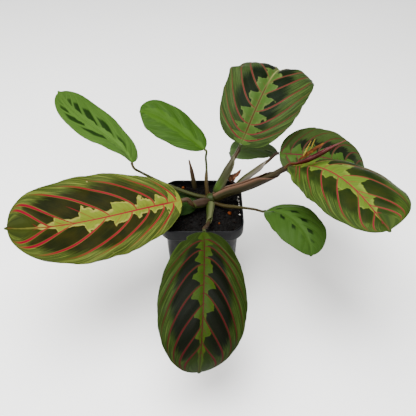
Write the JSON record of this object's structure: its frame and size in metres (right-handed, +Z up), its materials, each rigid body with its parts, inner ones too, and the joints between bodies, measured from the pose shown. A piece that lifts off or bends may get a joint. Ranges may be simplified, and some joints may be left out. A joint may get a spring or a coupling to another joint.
{
  "type": "potted prayer plant",
  "caption": "Small prayer plant in a square pot of soil, with broad oval leaves on stalks that spread from one crown, a rolled new leaf and plain or spotted young leaves.",
  "frame": {"origin": "centre of the pot's flat base, on the surface it stands on", "axes": "+Z up; -Y towards the front, where the large drooping leaf hangs over the rim; +X to the viewer's right, towards the main stem"},
  "size_m": [0.2885, 0.2579, 0.1677],
  "materials": {
    "pot": "satin",
    "soil": "matte",
    "stem": "satin",
    "sheath": "satin",
    "olive_leaf": "satin",
    "green_leaf": "satin",
    "young_leaf": "satin",
    "rolled_leaf": "satin",
    "dry_leaf": "matte"
  },
  "bodies": {
    "root": {"pot": "pot", "soil": "soil", "main_stem": "stem", "stalk_left": "sheath", "stalk_front": "sheath", "stalk_back": "stem", "stalk_rear_right": "stem", "stalk_far_left": "stem", "stalk_upper": "stem", "stalk_small_right": "stem", "stalk_behind": "stem", "stalk_under": "stem", "leaf_left": "olive_leaf", "leaf_front": "green_leaf", "leaf_back": "green_leaf", "leaf_rear_right": "green_leaf", "leaf_right": "olive_leaf", "leaf_far_left": "young_leaf", "leaf_upper": "young_leaf", "leaf_small_right": "young_leaf", "leaf_behind": "young_leaf", "leaf_under": "young_leaf", "rolled_leaf": "rolled_leaf", "dry_bract": "dry_leaf", "dry_leaf": "dry_leaf", "dry_spike": "dry_leaf"}
  },
  "joints": []
}
